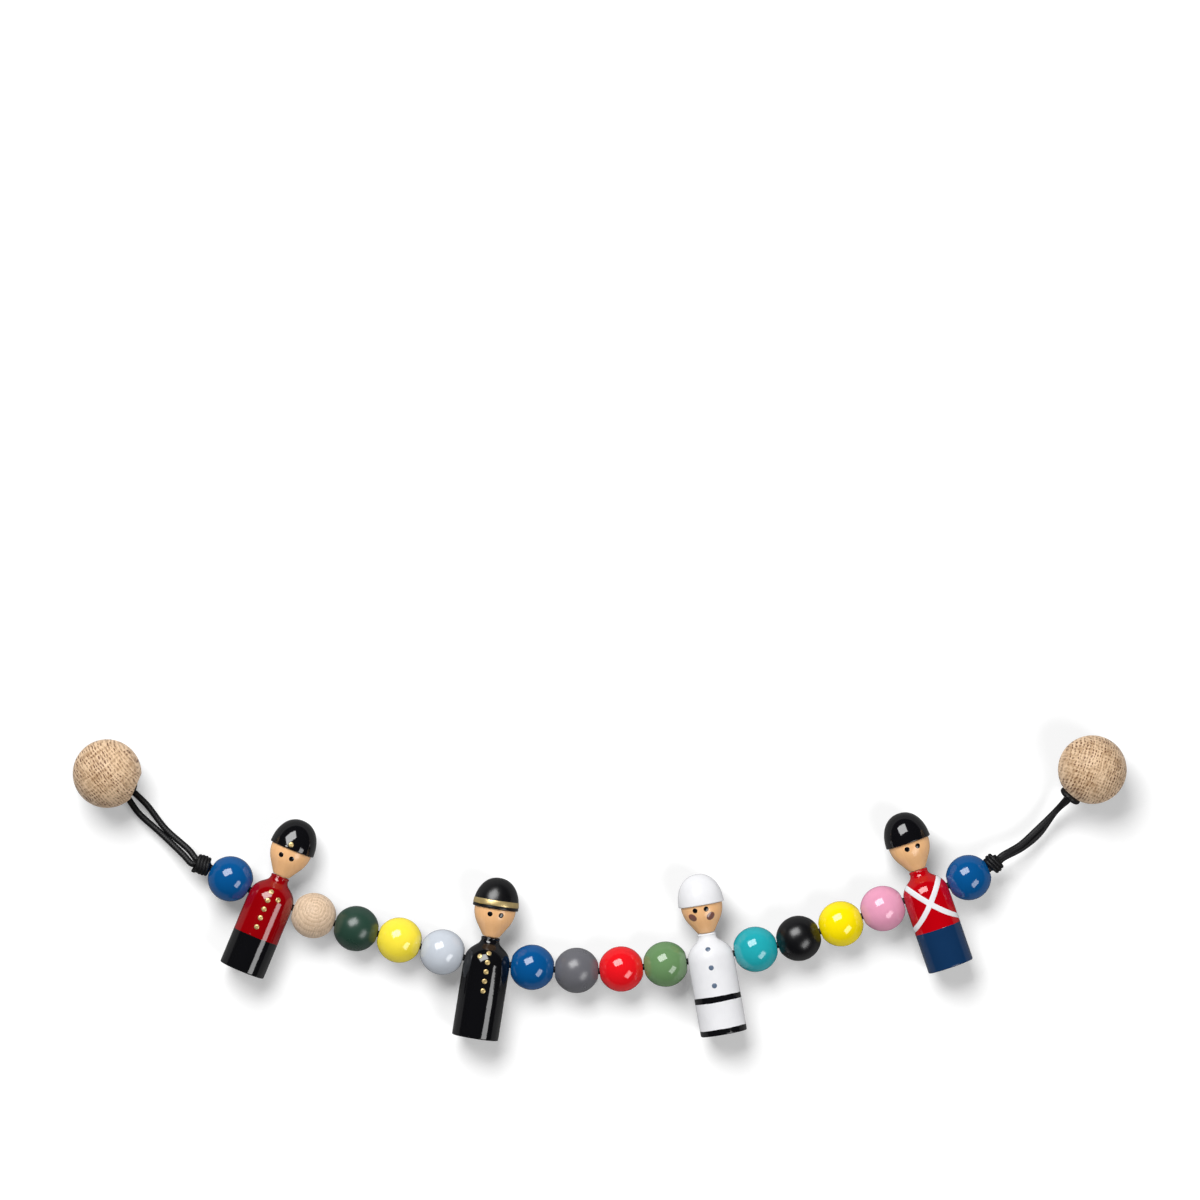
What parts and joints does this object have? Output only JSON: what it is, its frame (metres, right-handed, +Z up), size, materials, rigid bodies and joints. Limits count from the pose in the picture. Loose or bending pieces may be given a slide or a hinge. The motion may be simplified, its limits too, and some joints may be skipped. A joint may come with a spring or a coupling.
{
  "type": "pram chain",
  "caption": "Pram chain of painted wooden beads and turned peg figures strung on an elastic cord, with a cord loop and a toggle ball at each end.",
  "frame": {"origin": "middle of the chain's box, on the surface that it lies on", "axes": "+X along the chain to its right end, +Y from the figures' feet to their caps, +Z up from the surface"},
  "size_m": [0.4636, 0.1348, 0.0302],
  "materials": {
    "blue_lacquer": "glossy blue lacquer on wood",
    "natural_beech": "bare beech, fine sanded",
    "dark_green_lacquer": "glossy dark green lacquer on wood",
    "lemon_lacquer": "glossy lemon lacquer on wood",
    "yellow_lacquer": "glossy yellow lacquer on wood",
    "pale_grey_lacquer": "glossy pale grey lacquer on wood",
    "slate_lacquer": "satin slate grey lacquer on wood",
    "red_lacquer": "glossy red lacquer on wood",
    "crimson_lacquer": "glossy crimson lacquer on wood",
    "scarlet_lacquer": "glossy scarlet lacquer on wood",
    "sage_lacquer": "glossy sage lacquer on wood",
    "teal_lacquer": "glossy teal lacquer on wood",
    "black_lacquer": "glossy black lacquer on wood",
    "pink_lacquer": "glossy pink lacquer on wood",
    "white_lacquer": "glossy white lacquer on wood",
    "flesh_lacquer": "glossy flesh lacquer on wood",
    "elastic_cord": "black braided elastic, matt"
  },
  "bodies": {
    "cord_09": {"cord_09": "elastic_cord"},
    "cord_01": {"cord_01": "elastic_cord", "knot_left": "elastic_cord"},
    "cord_02": {"cord_02": "elastic_cord"},
    "cord_03": {"cord_03": "elastic_cord"},
    "cord_04": {"cord_04": "elastic_cord"},
    "cord_05": {"cord_05": "elastic_cord"},
    "cord_06": {"cord_06": "elastic_cord"},
    "cord_07": {"cord_07": "elastic_cord"},
    "cord_08": {"cord_08": "elastic_cord"},
    "cord_10": {"cord_10": "elastic_cord"},
    "cord_11": {"cord_11": "elastic_cord"},
    "cord_12": {"cord_12": "elastic_cord"},
    "cord_13": {"cord_13": "elastic_cord"},
    "cord_14": {"cord_14": "elastic_cord"},
    "cord_15": {"cord_15": "elastic_cord"},
    "cord_16": {"cord_16": "elastic_cord"},
    "cord_17": {"cord_17": "elastic_cord"},
    "cord_18": {"cord_18": "elastic_cord", "knot_right": "elastic_cord"},
    "bead_01_blue": {"bead_01_blue": "blue_lacquer"},
    "sentry": {"sentry_body": "crimson_lacquer", "sentry_head": "flesh_lacquer", "sentry_cap": "black_lacquer"},
    "bead_02_natural": {"bead_02_natural": "natural_beech"},
    "bead_03_dark_green": {"bead_03_dark_green": "dark_green_lacquer"},
    "bead_04_yellow": {"bead_04_yellow": "lemon_lacquer"},
    "bead_05_pale_grey": {"bead_05_pale_grey": "pale_grey_lacquer"},
    "conductor": {"conductor_body": "black_lacquer", "conductor_head": "flesh_lacquer", "conductor_cap": "black_lacquer"},
    "bead_06_blue": {"bead_06_blue": "blue_lacquer"},
    "bead_07_slate": {"bead_07_slate": "slate_lacquer"},
    "bead_08_red": {"bead_08_red": "red_lacquer"},
    "bead_09_sage": {"bead_09_sage": "sage_lacquer"},
    "cook": {"cook_body": "white_lacquer", "cook_head": "flesh_lacquer", "cook_cap": "white_lacquer"},
    "bead_10_teal": {"bead_10_teal": "teal_lacquer"},
    "bead_11_black": {"bead_11_black": "black_lacquer"},
    "bead_12_yellow": {"bead_12_yellow": "yellow_lacquer"},
    "bead_13_pink": {"bead_13_pink": "pink_lacquer"},
    "guard": {"guard_body": "scarlet_lacquer", "guard_head": "flesh_lacquer", "guard_cap": "black_lacquer"},
    "bead_14_blue": {"bead_14_blue": "blue_lacquer"},
    "loop_left": {"loop_left_near": "elastic_cord", "loop_left_far": "elastic_cord"},
    "ball_left": {"ball_left": "natural_beech", "hitch_left": "elastic_cord"},
    "loop_right": {"loop_right_near": "elastic_cord", "loop_right_far": "elastic_cord"},
    "ball_right": {"ball_right": "natural_beech", "hitch_right": "elastic_cord"}
  },
  "joints": [
    {"name": "spin_bead_01", "type": "hinge", "parent": "cord_01", "child": "bead_01_blue", "pos_m": [-0.16278, 0.00406, 0.01], "axis": [0.866, -0.5, 0], "continuous": true},
    {"name": "sentry_turn", "type": "hinge", "parent": "cord_02", "child": "sentry", "pos_m": [-0.14481, -0.00477, 0.0103], "axis": [0.9239, -0.3827, 0], "continuous": true},
    {"name": "spin_bead_02", "type": "hinge", "parent": "cord_03", "child": "bead_02_natural", "pos_m": [-0.12615, -0.01213, 0.01], "axis": [0.9367, -0.3502, 0], "continuous": true},
    {"name": "spin_bead_03", "type": "hinge", "parent": "cord_04", "child": "bead_03_dark_green", "pos_m": [-0.10734, -0.01788, 0.01], "axis": [0.9724, -0.2334, 0], "continuous": true},
    {"name": "spin_bead_04", "type": "hinge", "parent": "cord_05", "child": "bead_04_yellow", "pos_m": [-0.08833, -0.02298, 0.01], "axis": [0.9588, -0.284, 0], "continuous": true},
    {"name": "spin_bead_05", "type": "hinge", "parent": "cord_06", "child": "bead_05_pale_grey", "pos_m": [-0.06935, -0.02824, 0.01], "axis": [0.9681, -0.2504, 0], "continuous": true},
    {"name": "conductor_turn", "type": "hinge", "parent": "cord_07", "child": "conductor", "pos_m": [-0.04972, -0.03231, 0.0103], "axis": [0.9877, -0.1564, 0], "continuous": true},
    {"name": "spin_bead_06", "type": "hinge", "parent": "cord_08", "child": "bead_06_blue", "pos_m": [-0.02984, -0.03493, 0.01], "axis": [0.9945, -0.1045, 0], "continuous": true},
    {"name": "spin_bead_07", "type": "hinge", "parent": "cord_09", "child": "bead_07_slate", "pos_m": [-0.0102, -0.03631, 0.01], "axis": [0.9994, -0.0349, 0], "continuous": true},
    {"name": "spin_bead_08", "type": "hinge", "parent": "cord_10", "child": "bead_08_red", "pos_m": [0.00944, -0.03571, 0.01], "axis": [0.9954, 0.0958, 0], "continuous": true},
    {"name": "spin_bead_09", "type": "hinge", "parent": "cord_11", "child": "bead_09_sage", "pos_m": [0.02902, -0.03356, 0.01], "axis": [0.9925, 0.1219, 0], "continuous": true},
    {"name": "cook_turn", "type": "hinge", "parent": "cord_12", "child": "cook", "pos_m": [0.04886, -0.03059, 0.0103], "axis": [0.9848, 0.1736, 0], "continuous": true},
    {"name": "spin_bead_10", "type": "hinge", "parent": "cord_13", "child": "bead_10_teal", "pos_m": [0.0686, -0.02702, 0.01], "axis": [0.9833, 0.1822, 0], "continuous": true},
    {"name": "spin_bead_11", "type": "hinge", "parent": "cord_14", "child": "bead_11_black", "pos_m": [0.08765, -0.02218, 0.01], "axis": [0.9511, 0.309, 0], "continuous": true},
    {"name": "spin_bead_12", "type": "hinge", "parent": "cord_15", "child": "bead_12_yellow", "pos_m": [0.10627, -0.01577, 0.01], "axis": [0.9397, 0.342, 0], "continuous": true},
    {"name": "spin_bead_13", "type": "hinge", "parent": "cord_16", "child": "bead_13_pink", "pos_m": [0.12478, -0.00903, 0.01], "axis": [0.9397, 0.342, 0], "continuous": true},
    {"name": "guard_turn", "type": "hinge", "parent": "cord_17", "child": "guard", "pos_m": [0.1437, -0.00234, 0.0103], "axis": [0.9455, 0.3256, 0], "continuous": true},
    {"name": "spin_bead_14", "type": "hinge", "parent": "cord_18", "child": "bead_14_blue", "pos_m": [0.16252, 0.0046, 0.01], "axis": [0.9304, 0.3665, 0], "continuous": true},
    {"name": "cord_bend_01", "type": "hinge", "parent": "cord_02", "child": "cord_01", "pos_m": [-0.15425, -0.00086, 0.0103], "axis": [0, 0, -1], "range_deg": [-16.5, 1.5]},
    {"name": "cord_bend_02", "type": "hinge", "parent": "cord_03", "child": "cord_02", "pos_m": [-0.13537, -0.00869, 0.0103], "axis": [0, 0, -1], "range_deg": [-11, 7]},
    {"name": "cord_bend_03", "type": "hinge", "parent": "cord_04", "child": "cord_03", "pos_m": [-0.11692, -0.01558, 0.0103], "axis": [0, 0, -1], "range_deg": [-21, 7]},
    {"name": "cord_bend_04", "type": "hinge", "parent": "cord_05", "child": "cord_04", "pos_m": [-0.09777, -0.02018, 0.0103], "axis": [0, 0, -1], "range_deg": [-11, 17]},
    {"name": "cord_bend_05", "type": "hinge", "parent": "cord_06", "child": "cord_05", "pos_m": [-0.07889, -0.02577, 0.0103], "axis": [0, 0, -1], "range_deg": [-16, 12]},
    {"name": "cord_bend_06", "type": "hinge", "parent": "cord_07", "child": "cord_06", "pos_m": [-0.05982, -0.03071, 0.0103], "axis": [0, 0, -1], "range_deg": [-14.5, 3.5]},
    {"name": "cord_bend_07", "type": "hinge", "parent": "cord_08", "child": "cord_07", "pos_m": [-0.03963, -0.0339, 0.0103], "axis": [0, 0, -1], "range_deg": [-12, 6]},
    {"name": "cord_bend_08", "type": "hinge", "parent": "cord_09", "child": "cord_08", "pos_m": [-0.02004, -0.03596, 0.0103], "axis": [0, 0, -1], "range_deg": [-18, 10]},
    {"name": "cord_bend_09", "type": "hinge", "parent": "cord_09", "child": "cord_10", "pos_m": [-0.00036, -0.03665, 0.0103], "axis": [0, 0, 1], "range_deg": [-21.5, 6.5]},
    {"name": "cord_bend_10", "type": "hinge", "parent": "cord_10", "child": "cord_11", "pos_m": [0.01924, -0.03476, 0.0103], "axis": [0, 0, 1], "range_deg": [-15.5, 12.5]},
    {"name": "cord_bend_11", "type": "hinge", "parent": "cord_11", "child": "cord_12", "pos_m": [0.03879, -0.03236, 0.0103], "axis": [0, 0, 1], "range_deg": [-12, 6]},
    {"name": "cord_bend_12", "type": "hinge", "parent": "cord_12", "child": "cord_13", "pos_m": [0.05892, -0.02881, 0.0103], "axis": [0, 0, 1], "range_deg": [-9.5, 8.5]},
    {"name": "cord_bend_13", "type": "hinge", "parent": "cord_13", "child": "cord_14", "pos_m": [0.07829, -0.02522, 0.0103], "axis": [0, 0, 1], "range_deg": [-21.5, 6.5]},
    {"name": "cord_bend_14", "type": "hinge", "parent": "cord_14", "child": "cord_15", "pos_m": [0.09702, -0.01914, 0.0103], "axis": [0, 0, 1], "range_deg": [-16, 12]},
    {"name": "cord_bend_15", "type": "hinge", "parent": "cord_15", "child": "cord_16", "pos_m": [0.11553, -0.0124, 0.0103], "axis": [0, 0, 1], "range_deg": [-14, 14]},
    {"name": "cord_bend_16", "type": "hinge", "parent": "cord_16", "child": "cord_17", "pos_m": [0.13403, -0.00566, 0.0103], "axis": [0, 0, 1], "range_deg": [-8, 10]},
    {"name": "cord_bend_17", "type": "hinge", "parent": "cord_17", "child": "cord_18", "pos_m": [0.15336, 0.00099, 0.0103], "axis": [0, 0, 1], "range_deg": [-11.5, 6.5]},
    {"name": "loop_left_swing", "type": "hinge", "parent": "cord_01", "child": "loop_left", "pos_m": [-0.17847, 0.01312, 0.0103], "axis": [0, 0, -1], "range_deg": [-30, 10]},
    {"name": "ball_left_swing", "type": "hinge", "parent": "loop_left", "child": "ball_left", "pos_m": [-0.20927, 0.04304, 0.00408], "axis": [0, 0, -1], "range_deg": [-12, 12]},
    {"name": "loop_right_swing", "type": "hinge", "parent": "cord_18", "child": "loop_right", "pos_m": [0.17885, 0.01234, 0.0103], "axis": [0, 0, 1], "range_deg": [-30, 10]},
    {"name": "ball_right_swing", "type": "hinge", "parent": "loop_right", "child": "ball_right", "pos_m": [0.2073, 0.04066, 0.01191], "axis": [0, 0, 1], "range_deg": [-16, 16]}
  ]
}
